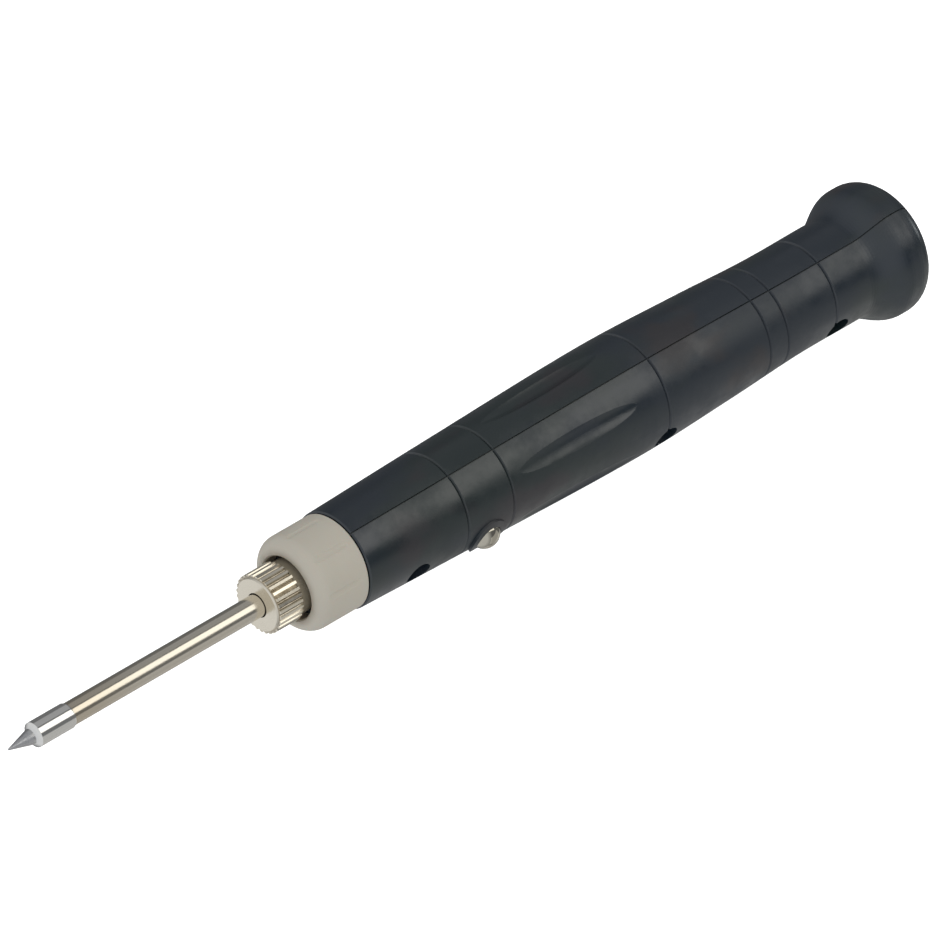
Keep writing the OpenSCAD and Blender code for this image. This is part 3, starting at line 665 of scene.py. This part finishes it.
cans = ["motion_sensor", "capacitor"]
spring_steel = drawn_metal(
    "spring_steel", WIRE_GREY, WIRE_SHADE, roughness=0.26, parts=["touch_spring"]
)
drawn_metal("can_metal", CAN_GREY, CAN_SHADE, roughness=0.32, parts=cans)
drawn_metal(
    "contact_brass", TINNED_BRASS, TINNED_SHADE, roughness=0.24, parts=["socket_contacts"]
)

# %% [markdown]
# Solder mask is a thin green glaze over copper tracks. The tracks show as slightly lighter
# lines: a brick pattern with very thin mortar gives straight lines that meet at corners.

# %% Circuit board
MASK_GREEN = (0.012, 0.14, 0.055)
TRACK_GREEN = (0.03, 0.26, 0.1)
TRACK_SCALE = 420
TRACK_WIDTH = 0.03
FIELD, FIELD_SHADE, TRACK = (0, 0, 0), (0.1, 0.1, 0.1), (1, 1, 1)

board = Finish("board_laminate", roughness=0.3, Coat_Weight=0.5, Coat_Roughness=0.12)
tracks = board.add("ShaderNodeTexBrick")
board.put(tracks.inputs["Vector"], board.stretched())
board.put(tracks.inputs["Scale"], TRACK_SCALE)
board.put(tracks.inputs["Mortar Size"], TRACK_WIDTH)
board.put(tracks.inputs["Color1"], FIELD)
board.put(tracks.inputs["Color2"], FIELD_SHADE)
board.put(tracks.inputs["Mortar"], TRACK)
board.set("Base Color", board.blend(tracks.outputs["Color"], MASK_GREEN, TRACK_GREEN))
board.on("circuit_board")

# %% [markdown]
# The indicator lamp is clear red resin. It lets light through, so it needs transmission and the
# resin's own refraction rather than a bright red paint.

# %% Indicator lamp
RESIN_RED = (0.75, 0.03, 0.02)
RESIN_SHADE = (0.6, 0.02, 0.015)

resin = Finish("lamp_resin", roughness=0.12, Transmission_Weight=0.6, IOR=1.5)
resin_cloud = resin.noise(scale=500, detail=2, rough=0.5)
resin.set("Base Color", resin.blend(resin_cloud, RESIN_RED, RESIN_SHADE))
resin.on("indicator_led")

# %% [markdown]
# Two hidden pieces come to light when the tip is off or the ball is pressed, so they get their
# own models. The first is the bush, a turned part. It could be stacked up from cylinders, but a
# turner thinks in outlines: its outline is drawn once and spun round the axis, as on a lathe. A
# full spin closes its own seam, but its faces may point inwards, so they are turned out after it.

# %% A lathe
SPIN_STEPS = 72
LATHE_CREASE = 35


def turned(name, outline):
    """Spin a closed outline of (x, radius) points, in metres, round the X axis."""
    count = len(outline)
    mesh = bpy.data.meshes.new(name)
    sides = [(i, (i + 1) % count) for i in range(count)]
    mesh.from_pydata([(x, radius, 0) for x, radius in outline], sides, [])
    made = placed(name, mesh)
    pick(made)
    bpy.ops.object.mode_set(mode="EDIT")
    bpy.ops.mesh.select_all(action="SELECT")
    bpy.ops.mesh.spin(steps=SPIN_STEPS, angle=2 * math.pi, center=(0, 0, 0), axis=(1, 0, 0))
    bpy.ops.mesh.select_all(action="SELECT")
    bpy.ops.mesh.normals_make_consistent(inside=False)
    bpy.ops.object.mode_set(mode="OBJECT")
    bpy.ops.object.shade_smooth_by_angle(angle=math.radians(LATHE_CREASE))
    print(name, "has", len(made.data.vertices), "points")
    return made


# %% [markdown]
# The bush has a nose for the nut's thread, a seat that the shells hold, and a flange that stops
# it from sliding. Its ends and its largest radius come from the frame, the rest are its own
# sizes. Its edges are broken by 0.2 mm. The nose gets ten points for every turn of the thread.

# %% Bush blank
PITCH = 0.75 * MM
STEPS_A_TURN = 10
EDGE = 0.2 * MM
BORE_RADIUS = 1.27 * MM
NOSE_RADIUS = 3.52 * MM
SEAT_RADIUS = 4.2 * MM
NOSE_LENGTH = 3.7 * MM
FLANGE_PLACE = 6.98 * MM
FLANGE_WIDTH = 1.4 * MM

bush_front, bush_back = low("heater_bush").x, high("heater_bush").x
flange_radius = high("heater_bush").z
shoulder_x = bush_front + NOSE_LENGTH
flange_front = bush_front + FLANGE_PLACE
flange_back = flange_front + FLANGE_WIDTH
thread_end = shoulder_x - PITCH / 2
cuts = round((thread_end - bush_front - EDGE) / PITCH * STEPS_A_TURN)
nose = [(bush_front + EDGE + i * PITCH / STEPS_A_TURN, NOSE_RADIUS) for i in range(cuts + 1)]
bush = turned(
    "threaded_bush",
    [(bush_front, NOSE_RADIUS - EDGE), *nose, (shoulder_x, NOSE_RADIUS)]
    + [(shoulder_x, SEAT_RADIUS - EDGE), (shoulder_x + EDGE, SEAT_RADIUS)]
    + [(flange_front, SEAT_RADIUS), (flange_front, flange_radius - EDGE)]
    + [(flange_front + EDGE, flange_radius), (flange_back - EDGE, flange_radius)]
    + [(flange_back, flange_radius - EDGE), (flange_back, SEAT_RADIUS)]
    + [(bush_back, SEAT_RADIUS), (bush_back, BORE_RADIUS)]
    + [(bush_front + EDGE, BORE_RADIUS), (bush_front, BORE_RADIUS + EDGE)],
)

# %% [markdown]
# A thread could be a separate coil fused to the nose, but it is cut here as a tool cuts it: each
# point of the nose sinks by how far it lies from the crest that winds past it, 0.75 mm further
# on with every turn. The groove has sloping sides and a flat floor. It is shallower on the
# broken front edge, and runs out over its last turn.

# %% Cut the thread
THREAD_DEPTH = 0.36 * MM
SIDE_SLOPE = 1.25
CREST_WIDTH = 0.1
FRONT_SHARE = 0.4
SKIN = 1.5 * EDGE

for point in bush.data.vertices:
    x, y, z = point.co
    out = math.hypot(y, z)
    if bush_front <= x <= thread_end and out > NOSE_RADIUS - SKIN:
        turn = (x / PITCH - math.atan2(z, y) / (2 * math.pi)) % 1
        from_crest = 1 - abs(2 * turn - 1)
        groove = min(1, max(0, SIDE_SLOPE * from_crest - CREST_WIDTH))
        run_out = min(1, (thread_end - x) / PITCH)
        run_in = min(1, (x - bush_front) / EDGE + FRONT_SHARE)
        share = (min(out, NOSE_RADIUS) - THREAD_DEPTH * groove * run_out * run_in) / out
        point.co = (x, y * share, z * share)
bush.data.update()
bush.data.materials.append(bush_brass.material)
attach(bush, "handle")
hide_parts("heater_bush")
print(f"thread of {(thread_end - bush_front) / PITCH:.1f} turns, {PITCH / MM} mm pitch")

# %% [markdown]
# The ball's spring is a coil of wire whose end turns lie flat, so that it stands square. A screw
# modifier could wind a plain coil, but not flat ends. So its path is drawn point by point, as a
# helix that climbs slowly in its first and last turn, and the wire is laid along it.

# %% Spring path
SPRING_TURNS = 6
POINTS_A_TURN = 24
WIRE_RADIUS = 0.2 * MM
END_TURN_RISE = 2.1 * WIRE_RADIUS

spring_low, spring_high = low("touch_spring"), high("touch_spring")
coil_x = (spring_high.x + spring_low.x) / 2
coil_radius = (spring_high.x - spring_low.x) / 2 - WIRE_RADIUS
spring_length = spring_high.y - spring_low.y - 2 * WIRE_RADIUS
end_share = END_TURN_RISE / spring_length


def climb(turn):
    """How far up the spring is after so many turns, as a share of its length."""
    if turn < 1:
        return end_share * turn
    if turn > SPRING_TURNS - 1:
        return 1 - end_share * (SPRING_TURNS - turn)
    return end_share + (1 - 2 * end_share) * (turn - 1) / (SPRING_TURNS - 2)


def coil_point(turn):
    angle = 2 * math.pi * turn
    y = spring_low.y + WIRE_RADIUS + spring_length * climb(turn)
    return (coil_x + coil_radius * math.cos(angle), y, coil_radius * math.sin(angle), 1)


# %% [markdown]
# The wire is the path's own round bevel with closed ends. A piece that has to change its shape is
# best a mesh, so the curve is converted, and its facets are then smoothed.

# %% Touch spring
WIRE_ROUNDNESS = 3
WIRE_CREASE = 50

path = bpy.data.curves.new("coil_spring", "CURVE")
path.dimensions = "3D"
path.bevel_depth = WIRE_RADIUS
path.bevel_resolution = WIRE_ROUNDNESS
path.use_fill_caps = True
line = path.splines.new("POLY")
line.points.add(SPRING_TURNS * POINTS_A_TURN)
for i, point in enumerate(line.points):
    point.co = coil_point(i / POINTS_A_TURN)
pick(placed("coil_spring", path))
bpy.ops.object.convert(target="MESH")
bpy.ops.object.shade_smooth_by_angle(angle=math.radians(WIRE_CREASE))
spring = bpy.context.object
spring.data.materials.append(spring_steel.material)
print(f"spring of {SPRING_TURNS} turns, {len(spring.data.vertices)} points")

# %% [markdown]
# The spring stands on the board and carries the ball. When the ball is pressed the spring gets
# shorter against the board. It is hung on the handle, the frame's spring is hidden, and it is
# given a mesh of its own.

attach(spring, "handle")
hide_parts("touch_spring")
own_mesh(spring)

# %% [markdown]
# Last, the parts without a finish are named, because one is easily forgotten.

# %% Parts without a finish
print("parts without a finish:", sorted(set(nodes) - dressed))
